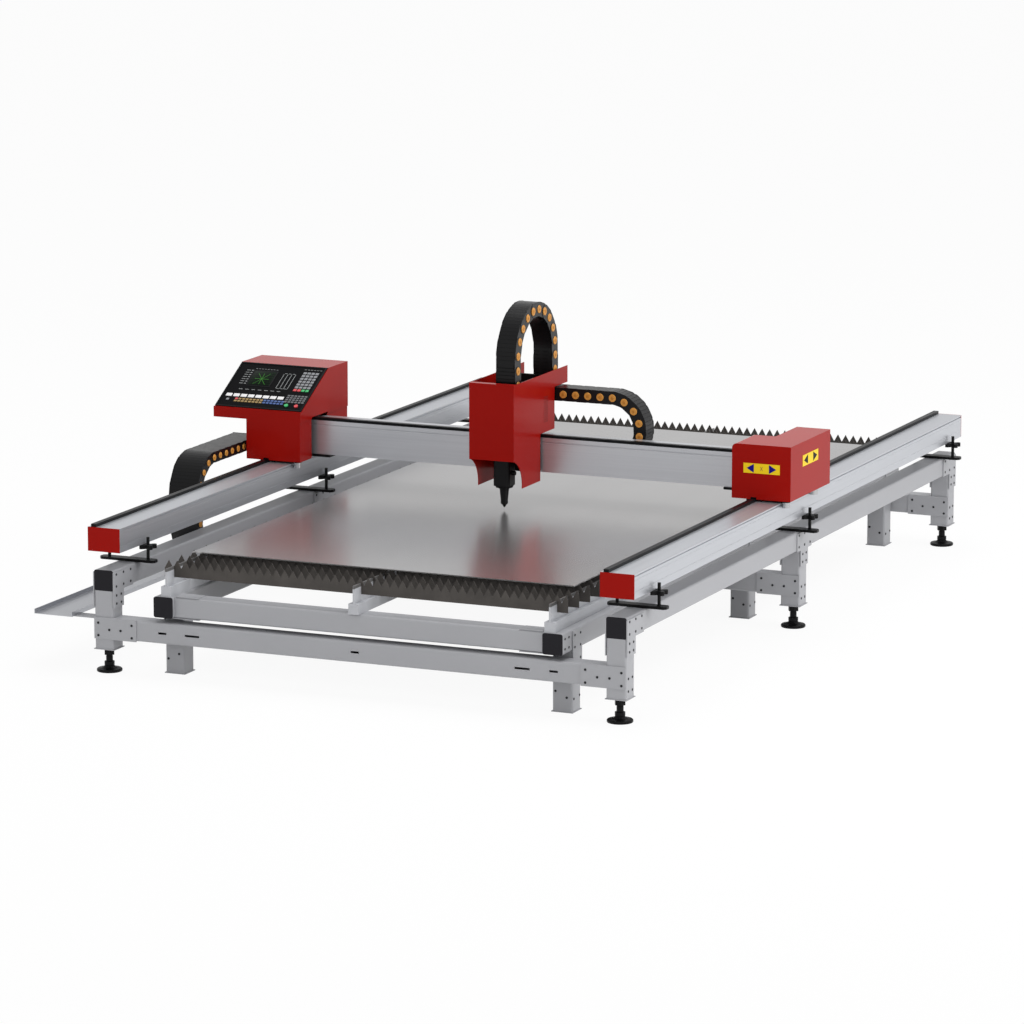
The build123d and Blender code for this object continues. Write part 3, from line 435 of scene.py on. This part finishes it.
# The keys stand on the panel's face: along X, and up the slope from its lower front edge.
SLOPE = radians(29.256)
FACE_Y = -0.320
FACE_Z = 0.735
panel_low, panel_high = box("control_panel")
panel_x = (panel_low[0] + panel_high[0]) / 2
on_panel = Matrix.Translation((panel_x, FACE_Y, FACE_Z)) @ Matrix.Rotation(SLOPE, 4, "X")
KEY_SINK = 0.0004


def tile(mesh, across, up, wide, tall, proud, soften=0.0006, finish=0):
    # A key or plate on the panel, placed by its middle. The edges of a key are softened, and
    # those of a printed mark are not.
    size = Matrix.Diagonal((wide, tall, proud + KEY_SINK, 1))
    spot = Matrix.Translation((across, up, (proud - KEY_SINK) / 2))
    made = bmesh.ops.create_cube(mesh, size=1, matrix=on_panel @ spot @ size)
    for face in {face for vert in made["verts"] for face in vert.link_faces}:
        face.material_index = finish
    if soften:
        bmesh.ops.bevel(
            mesh, geom=list({edge for vert in made["verts"] for edge in vert.link_edges}),
            offset=soften, segments=2, profile=0.5, affect="EDGES", material=-1, clamp_overlap=True,
        )


RIM_WIDE = 0.367
RIM_TALL = 0.272
RIM = 0.006
RIM_UP = 0.138
RIM_PROUD = 0.0022
rim = bmesh.new()
for side in (-1, 1):
    tile(rim, side * (RIM_WIDE - RIM) / 2, RIM_UP, RIM, RIM_TALL, RIM_PROUD)
    tile(rim, 0, RIM_UP + side * (RIM_TALL - RIM) / 2, RIM_WIDE - 2 * RIM, RIM, RIM_PROUD)
rim_black = Finish("rim_black", (0.008, 0.008, 0.009), 0.5).dull(0.08)
piece("panel_rim", rim, [rim_black], "gantry")

# The screen shows a green star of tool paths on faint dots, with a frame round it.
SCREEN_X = -0.058
SCREEN_UP = 0.182
STAR_LEAN = 1.6
screen_glass = Finish("screen_glass", (0.003, 0.006, 0.004), 0.2).dull(0.06)
across = screen_glass.axis("X") - (mid.x + panel_x + SCREEN_X)
upward = screen_glass.axis("Z") - (FACE_Z + SCREEN_UP * sin(SLOPE))
slant = upward * STAR_LEAN
leaning = ((across - slant).size() < 0.0012) + ((across + slant).size() < 0.0012)
straight = (upward.size() < 0.0006) + (across.size() < 0.0011)
star = (leaning + straight) * (across.size() < 0.03) * (upward.size() < 0.016)
dots = (across * 90).part() * ((upward * 150).part() > 0.6) * 0.08
glow = screen_glass.blend(star * 0.9 + dots, (0, 0, 0), (0.10, 0.42, 0.06))
screen_glass.give("Emission Color", glow)
screen_glass.give("Emission Strength", 0.5)
bezel = bmesh.new()
tile(bezel, SCREEN_X, SCREEN_UP, 0.104, 0.098, 0.0012, 0.0008, 1)
tile(bezel, SCREEN_X, SCREEN_UP, 0.092, 0.086, 0.0018, 0.0005, 0)
piece("panel_screen", bezel, [screen_glass, rim_black], "gantry")

button_red = Finish("red_plastic", (0.62, 0.05, 0.06), 0.3, 0.0, 0.4)
button_green = Finish("green_plastic", (0.03, 0.40, 0.12), 0.3, 0.0, 0.4)
dress(button_green, "green_button")
dress(button_red, "red_button")

# A row of white function keys under the screen. Each key is (wide, tall, proud, softening).
WHITE_KEYS = 8
WHITE_STEP = 0.0314
WHITE_KEY = (0.025, 0.017, 0.0022, 0.0006)
key_white = Finish("key_white", (0.72, 0.72, 0.72), 0.4)
keys = bmesh.new()
for number in range(WHITE_KEYS):
    tile(keys, -0.152 + number * WHITE_STEP, 0.0725, *WHITE_KEY)
piece("function_keys", keys, [key_white], "gantry")

# Two rows of small keys below them, amber and then blue, a red one first and a grey one apart.
SMALL_KEYS = 14
AMBER_KEYS = 8
SMALL_STEP = 0.0152
SMALL_KEY = (0.0112, 0.009, 0.0016, 0.0004)
LONE_KEY = (0.011, 0.011, 0.0016, 0.0004)
AMBER, BLUE, RED, GREY = range(4)
key_amber = Finish("key_amber", (0.30, 0.20, 0.07), 0.45)
key_blue = Finish("mark_blue", (0.05, 0.10, 0.28), 0.45)
key_grey = Finish("key_grey", (0.22, 0.225, 0.24), 0.45)
keys = bmesh.new()
for number in range(SMALL_KEYS):
    tone = AMBER if number < AMBER_KEYS else BLUE
    along = -0.112 + number * SMALL_STEP
    tile(keys, along, 0.052, *SMALL_KEY, tone if number else RED)
    tile(keys, along, 0.0385, *SMALL_KEY, tone)
tile(keys, -0.148, 0.046, *LONE_KEY, GREY)
piece("small_keys", keys, [key_amber, key_blue, button_red, key_grey], "gantry")

# The keypad: rows of grey keys whose lowest row is red and green, over rows of darker keys.
PAD_ROWS = 7
PAD_STEPS = (0.0172, 0.0175)
PAD_KEY = (0.0132, 0.0122, 0.0018, 0.0005)
DARK_ROWS = 4
DARK_COLUMNS = 6
DARK_STEPS = (0.0145, 0.0125)
DARK_KEY = (0.0105, 0.0085, 0.0015, 0.0004)
PLAIN, STOP, GO, DARK = range(4)
key_dark = Finish("key_dark", (0.11, 0.113, 0.12), 0.45)
keys = bmesh.new()
for row in range(PAD_ROWS):
    for column, lowest in enumerate((STOP, STOP, GO, GO)):
        tone = PLAIN if row else lowest
        tile(keys, 0.106 + column * PAD_STEPS[0], 0.127 + row * PAD_STEPS[1], *PAD_KEY, tone)
for row in range(DARK_ROWS):
    for column in range(DARK_COLUMNS):
        tile(keys, 0.096 + column * DARK_STEPS[0], 0.054 + row * DARK_STEPS[1], *DARK_KEY, DARK)
piece("keypad", keys, [key_grey, button_red, button_green, key_dark], "gantry")

# Printed bars round the screen, and the frames of three gauges.
mark_grey = Finish("mark_grey", (0.22, 0.23, 0.23), 0.5)
MARK_PROUD = 0.0005
marks = bmesh.new()


def bars(count, across, up, step_x, step_up, wide, tall):
    # A row or column of printed bars. The first one's middle is at across and up.
    for number in range(count):
        tile(marks, across + number * step_x, up + number * step_up, wide, tall, MARK_PROUD, 0)


bars(7, -0.134, 0.147, 0, 0.0135, 0.016, 0.0028)
bars(7, -0.117, 0.147, 0, 0.0135, 0.008, 0.0045)
bars(7, -0.12, 0.112, 0.027, 0, 0.015, 0.003)
bars(4, 0.022, 0.175, 0.0165, 0, 0.0022, 0.088)
bars(3, 0.030, 0.222, 0.0165, 0, 0.010, 0.0024)
bars(3, 0.030, 0.130, 0.0165, 0, 0.012, 0.0024)
bars(6, 0.100, 0.254, 0.013, 0, 0.009, 0.0022)
bars(8, -0.104, 0.240, 0.0125, 0, 0.008, 0.0018)
piece("panel_marks", marks, [mark_grey], "gantry")


# Direction plates on the end cover. Thin yellow enamelled plates with two arrows each,
# glued flat on the front and on the outer side.
yellow = Finish("plate_yellow", (0.86, 0.60, 0.012), 0.35).dull(0.15)
arrow_blue = Finish("arrow_blue", (0.008, 0.004, 0.20), 0.35).dull(0.08)
arrow_black = Finish("arrow_black", (0.007, 0.007, 0.009), 0.4).dull(0.08)
cross_brown = Finish("cross_brown", (0.35, 0.17, 0.02), 0.4)


def slab(mesh, low, high, finish=0):
    size = Vector(high) - Vector(low)
    middle = (Vector(high) + Vector(low)) / 2
    shape = Matrix.Translation(middle) @ Matrix.Diagonal((*size, 1))
    made = bmesh.ops.create_cube(mesh, size=1, matrix=shape)
    for face in {face for vert in made["verts"] for face in vert.link_faces}:
        face.material_index = finish
    return made["verts"]


def arrow(mesh, tip, back, half, facing, finish):
    # A flat triangle from tip to back, half wide each way, with a little thickness.
    up = Vector((0, 0, half))
    tip, back = Vector(tip), Vector(back)
    face = mesh.faces.new([mesh.verts.new(spot) for spot in (tip, back + up, back - up)])
    face.material_index = finish
    made = bmesh.ops.extrude_face_region(mesh, geom=[face])["geom"]
    moved = [item for item in made if isinstance(item, bmesh.types.BMVert)]
    bmesh.ops.translate(mesh, verts=moved, vec=Vector(facing) * ARROW_PROUD)
    for item in made:
        if isinstance(item, bmesh.types.BMFace):
            item.material_index = finish


PLATE_PROUD = 0.0008
ARROW_PROUD = 0.0006
cover_low, cover_high = box("end_cover")
PLATE_LEFT, PLATE_RIGHT = 0.918, 1.061
PLATE_BOTTOM, PLATE_TOP = 0.638, 0.675
CROSS_X = 0.989
CROSS_HALF = 0.0085
CROSS_LEAN = radians(32)
BAR_HALF = 0.001
front_y = cover_low[1] - PLATE_PROUD
mid_z = (PLATE_BOTTOM + PLATE_TOP) / 2
plate = bmesh.new()
slab(plate, (PLATE_LEFT, front_y, PLATE_BOTTOM), (PLATE_RIGHT, cover_low[1], PLATE_TOP))
for tip_x, back_x in ((0.931, 0.959), (1.047, 1.019)):
    arrow(plate, (tip_x, front_y, mid_z), (back_x, front_y, mid_z), 0.0165, (0, -1, 0), 1)
cross = Matrix.Translation((CROSS_X, cover_low[1], mid_z))
bar_low = (-BAR_HALF, -PLATE_PROUD - ARROW_PROUD, -CROSS_HALF)
for lean in (-CROSS_LEAN, CROSS_LEAN):
    bar = slab(plate, bar_low, (BAR_HALF, 0, CROSS_HALF), 2)
    bmesh.ops.transform(plate, matrix=cross @ Matrix.Rotation(lean, 4, "Y"), verts=bar)
bmesh.ops.recalc_face_normals(plate, faces=plate.faces)
piece("direction_plate_front", plate, [yellow, arrow_blue, cross_brown], "gantry")
SIDE_FRONT, SIDE_REAR = -0.195, -0.033
SIDE_BOTTOM, SIDE_TOP = 0.652, 0.694
side_x = cover_high[0] + PLATE_PROUD
mid_z = (SIDE_BOTTOM + SIDE_TOP) / 2
plate = bmesh.new()
slab(plate, (cover_high[0], SIDE_FRONT, SIDE_BOTTOM), (side_x, SIDE_REAR, SIDE_TOP))
for tip_y, back_y in ((-0.182, -0.142), (-0.046, -0.086)):
    arrow(plate, (side_x, tip_y, mid_z), (side_x, back_y, mid_z), 0.0175, (1, 0, 0), 1)
bmesh.ops.recalc_face_normals(plate, faces=plate.faces)
piece("direction_plate_side", plate, [yellow, arrow_black], "gantry")


# Louvre on the hood: rows of small punched holes near the rear of each cheek, drawn as flat
# discs of painted shade on the red coat, where the insides of the holes would be dark.
HOLE_COLUMNS = 4
HOLE_ROWS = 12
HOLE_R = 0.0028
HOLE_PROUD = 0.0002
FIRST_COLUMN, COLUMN_STEP = -0.175, 0.011
LOWEST_ROW, ROW_STEP = 0.742, 0.0085
hood_low, hood_high = box("head_hood")
holes = bmesh.new()
for side, wall in ((-1, hood_low[0]), (1, hood_high[0])):
    for column in range(HOLE_COLUMNS):
        for row in range(HOLE_ROWS):
            spot = (wall, FIRST_COLUMN + column * COLUMN_STEP, LOWEST_ROW + row * ROW_STEP)
            disc(holes, spot, (side, 0, 0), HOLE_R, HOLE_PROUD * 2, 8)
# The discs are painted shade: a near-black red that stands for the dark inside of each hole.
painted_hole_shade = Finish("painted_hole_shade", (0.02, 0.003, 0.003), 0.8)
piece("hood_louvre", holes, [painted_hole_shade], "carriage")


# Cutting head: black anodised body on its slide, with cover screws, a clamp ring above
# the cone and a twelve-sided nozzle nut.
head_black = Finish("head_black", (0.007, 0.007, 0.0075), 0.32, 0.1).dull(0.15)
head_black.give("Roughness", head_black.noise(90.0) * 0.18 + 0.25)
dress(head_black, "cutting_head", "head_slide")
nozzle_black = Finish("nozzle_black", (0.012, 0.011, 0.010), 0.3, 0.5).dull(0.2)
dress(nozzle_black, "nozzle")
body_low, body_high = box("cutting_head")
head_x = (body_low[0] + body_high[0]) / 2
head_y = (body_low[1] + body_high[1]) / 2
half = (body_high[0] - body_low[0]) / 2
fittings = bmesh.new()
# From below: the nozzle nut, the clamp ring over the cone, and a thin ring round the body.
NUT_UP, CLAMP_UP, RING_UP = 0.459, 0.5185, 0.545
disc(fittings, (head_x, head_y, NUT_UP), (0, 0, 1), 0.0148, 0.008, 12)
disc(fittings, (head_x, head_y, CLAMP_UP), (0, 0, -1), half + 0.003, 0.009, 32)
disc(fittings, (head_x, head_y, RING_UP), (0, 0, 1), half + 0.001, 0.004, 8)
# The body's cover screws, and a gas inlet on its right and a sensor plug on its left.
for side in (-1, 1):
    for up in (0.56, 0.59):
        disc(fittings, (head_x + side * 0.024, head_y - half, up), (0, -1, 0), 0.003, 0.003, 10)
INLET_OUT, INLET_LONG = 0.006, 0.014
inlet = (head_x + half + INLET_OUT, head_y, 0.57)
plug = (head_x - half - INLET_OUT, head_y + 0.01, 0.585)
disc(fittings, inlet, (1, 0, 0), 0.009, INLET_LONG, 16)
disc(fittings, plug, (-1, 0, 0), 0.006, INLET_LONG, 12)
piece("head_fittings", fittings, [oxide], "head")


# Cable chains. Black nylon links with overlapping round-ended side plates, each pivot
# closed by an orange cap with a darker centre. They are laid out in fixed bends.
chain_black = Finish("chain_black", (0.0055, 0.0055, 0.006), 0.34, 0.0, 0.5).dull(0.1)
chain_black.give("Coat IOR", 1.25)
chain_black.give("Coat Roughness", 0.25)
chain_black.give("Roughness", chain_black.noise(30.0) * 0.15 + 0.27)
cap_orange = Finish("cap_orange", (0.60, 0.27, 0.045), 0.45).dull(0.3)
cap_orange.mottle(cap_orange.noise(120.0), (0.55, 0.22, 0.03), (0.70, 0.34, 0.07))
cap_centre = Finish("cap_centre", (0.47, 0.19, 0.025), 0.5).dull(0.3)
# What is taken off a link's width or height for its bands and for the core inside them.
BAND_OFF = 0.011
CORE_OFF = 0.014
CORE_SHARE = 0.99
BAND_STEPS = 4
BAND_THICK = 0.005
BAND_DEPTH = 0.003
BAND_LAP = 1.12
WALL_THICK = 0.005
WALL_OFF = 0.001
WALL_INSET = 0.004
EVEN_INSET = 0.0012
END_MARGIN = 0.012
CAP_THICK, CAP_SINK = 0.0028, 0.0006
CENTRE_THICK, CENTRE_PROUD = 0.0018, 0.0005
# As shares of a link's height: how far its walls lap the next ones, their rounding, its caps.
WALL_LAP = 0.62
ROUNDING = 0.46
CAP_R = 0.285
CENTRE_R = 0.12


def walk(start, heading, runs, distance):
    # The spot and heading at a distance along straight runs (0, length) and bends (radius, turn).
    spot = complex(*start)
    for radius, amount in runs:
        length = abs(amount) * radius if radius else amount
        part = min(max(distance, 0), length)
        if radius:
            side = 1j * radius * (1 if amount > 0 else -1)
            centre = spot + side * rect(1, heading)
            heading += part / radius * (1 if amount > 0 else -1)
            spot = centre - side * rect(1, heading)
        else:
            spot += rect(part, heading)
        distance -= length
    return spot, heading


def chain_mesh(plane, across, width, tall, start, heading, runs, count):
    # plane turns a flat (along, 0, up) place into the machine's frame. Bands close the top and
    # bottom of each link, and every second link's side walls stand a little further in.
    total = sum(abs(amount) * radius if radius else amount for radius, amount in runs)
    pitch = total / count
    mesh = bmesh.new()

    def put(distance):
        spot, turn = walk(start, heading, runs, distance)
        flat = Matrix.Translation((spot.real, 0, spot.imag)) @ Matrix.Rotation(-turn, 4, "Y")
        return plane @ Matrix.Translation((0, across, 0)) @ flat

    for number in range(count):
        here = put((number + 0.5) * pitch)
        for part in range(BAND_STEPS):
            there = put((number + (part + 0.5) / BAND_STEPS) * pitch)
            for side in (-1, 1):
                spot = Matrix.Translation((0, 0, side * (tall / 2 - BAND_DEPTH)))
                length = pitch / BAND_STEPS * BAND_LAP
                size = Matrix.Diagonal((length, width - BAND_OFF, BAND_THICK, 1))
                bmesh.ops.create_cube(mesh, size=1, matrix=there @ spot @ size)
        core = Matrix.Diagonal((pitch * CORE_SHARE, width - CORE_OFF, tall - CORE_OFF, 1))
        bmesh.ops.create_cube(mesh, size=1, matrix=here @ core)
        inset = WALL_INSET if number % 2 else WALL_INSET + EVEN_INSET
        for side in (-1, 1):
            wall = Matrix.Translation((0, side * (width / 2 - inset), 0))
            size = Matrix.Diagonal((pitch + tall * WALL_LAP, WALL_THICK, tall - WALL_OFF, 1))
            made = bmesh.ops.create_cube(mesh, size=1, matrix=here @ wall @ size)
            upright = here.to_3x3() @ Vector((0, 1, 0))
            ends = [
                edge for edge in {edge for vert in made["verts"] for edge in vert.link_edges}
                if abs((edge.verts[0].co - edge.verts[1].co).normalized().dot(upright)) > 0.9
            ]
            bmesh.ops.bevel(
                mesh, geom=ends, offset=tall * ROUNDING, segments=5, profile=0.5,
                affect="EDGES", material=-1, clamp_overlap=True,
            )
    for number in range(count + 1):
        here = put(min(max(number * pitch, END_MARGIN), total - END_MARGIN))
        for side in (-1, 1):
            face = here.to_3x3() @ Vector((0, side, 0))
            spot = here @ Vector((0, side * (width / 2 - CAP_SINK), 0))
            disc(mesh, spot, face, tall * CAP_R, CAP_THICK, 20, 1)
            spot = here @ Vector((0, side * (width / 2 + CENTRE_PROUD), 0))
            disc(mesh, spot, face, tall * CENTRE_R, CENTRE_THICK, 12, 2)
    return mesh


def hang(name, mesh, node):
    # A chain laid out in fixed bends, with no body to ride on, that hides the part it stands for.
    chain = piece(name, mesh, [chain_black, cap_orange, cap_centre], None)
    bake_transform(chain)
    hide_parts(node)


TURNED = Matrix.Rotation(pi / 2, 4, "Z")
Y_TOP, Y_LOW, Y_RADIUS = 0.584, 0.228, 0.134
runs = [(0, 0.390), (Y_RADIUS, pi / 2), (0, Y_TOP - Y_LOW - 2 * Y_RADIUS)]
runs += [(Y_RADIUS, pi / 2), (0, 0.810)]
mesh = chain_mesh(
    TURNED, across=1.2005, width=0.125, tall=0.043,
    start=(-0.168, Y_TOP), heading=pi, runs=runs, count=34,
)
hang("long_chain", mesh, "y_chain")
X_TOP, X_RADIUS = 0.832, 0.120
runs = [(0, 0.395), (X_RADIUS, -pi), (0, 0.385)]
mesh = chain_mesh(
    Matrix(), across=-0.0285, width=0.083, tall=0.052,
    start=(-0.114, X_TOP), heading=0, runs=runs, count=23,
)
hang("cross_chain", mesh, "x_chain")
Z_START, Z_RADIUS = 0.868, 0.175
runs = [(0, 0.132), (Z_RADIUS, pi), (0, 0.198)]
mesh = chain_mesh(
    TURNED, across=-0.002, width=0.082, tall=0.056,
    start=(-0.039, Z_START), heading=pi / 2, runs=runs, count=16,
)
hang("head_chain", mesh, "z_chain")


# Studio: a white floor that keeps only a faint shadow, soft lamps and the camera.
bpy.ops.mesh.primitive_plane_add(size=60, location=(0, 0, 0))
floor = bpy.context.object
floor.name = "studio_floor"
white = Finish("studio_white", (0.8, 0.8, 0.8), 0.9).dull(0)
camera_ray = white.node("ShaderNodeLightPath", {}, {}, "Is Camera Ray")
glossy_ray = white.node("ShaderNodeLightPath", {}, {}, "Is Glossy Ray")
FLOOR_SHARE = 0.93
share = camera_ray.most(glossy_ray) * FLOOR_SHARE
shine = white.node("ShaderNodeEmission", {}, {"Color": (1, 1, 1, 1), "Strength": 1.0})
plain = Value(white, white.shader.outputs[0])
both = white.node("ShaderNodeMixShader", {}, {0: share, 1: plain, 2: shine})
white.put(white.tree.nodes["Material Output"].inputs["Surface"], both)
floor.data.materials.append(white.material)

world = bpy.data.worlds.new("studio")
bpy.context.scene.world = world
world.use_nodes = True
sky = Shading(world.node_tree)
ambient = sky.tree.nodes["Background"]
sky.put(ambient.inputs["Color"], (1, 1, 1, 1))
sky.put(ambient.inputs["Strength"], 0.72)
backdrop = sky.node("ShaderNodeBackground", {}, {"Color": (1, 1, 1, 1), "Strength": 1.0})
camera_ray = sky.node("ShaderNodeLightPath", {}, {}, "Is Camera Ray")
dim = Value(sky, ambient.outputs[0])
both = sky.node("ShaderNodeMixShader", {}, {0: camera_ray, 1: dim, 2: backdrop})
sky.put(sky.tree.nodes["World Output"].inputs["Surface"], both)


def lamp(name, spot, aim, size, power):
    # A square soft light that looks from its spot at aim.
    data = bpy.data.lights.new(name, "AREA")
    data.shape = "SQUARE"
    data.size = size
    data.energy = power
    made = bpy.data.objects.new(name, data)
    bpy.context.scene.collection.objects.link(made)
    made.location = spot
    made.rotation_euler = (Vector(aim) - Vector(spot)).to_track_quat("-Z", "Y").to_euler()


lamp("top_light", (1.0, 0.5, 6.5), (0, 0, 0.4), 5.0, 260)
lamp("right_light", (7.5, -1.5, 3.2), (0, 0, 0.5), 4.0, 195)
lamp("front_light", (-1.0, -8.0, 4.0), (0, 0, 0.5), 4.0, 30)

camera_data = bpy.data.cameras.new("camera")
camera_data.lens = 185.72
camera_data.sensor_width = 36
camera_data.clip_end = 100
camera = bpy.data.objects.new("camera", camera_data)
bpy.context.scene.collection.objects.link(camera)
camera.location = mid + Vector((7.836, -18.194, 4.232))
camera.rotation_euler = (radians(78.94), 0, radians(23.71))
bpy.context.scene.camera = camera
bpy.context.scene.view_settings.view_transform = "Standard"
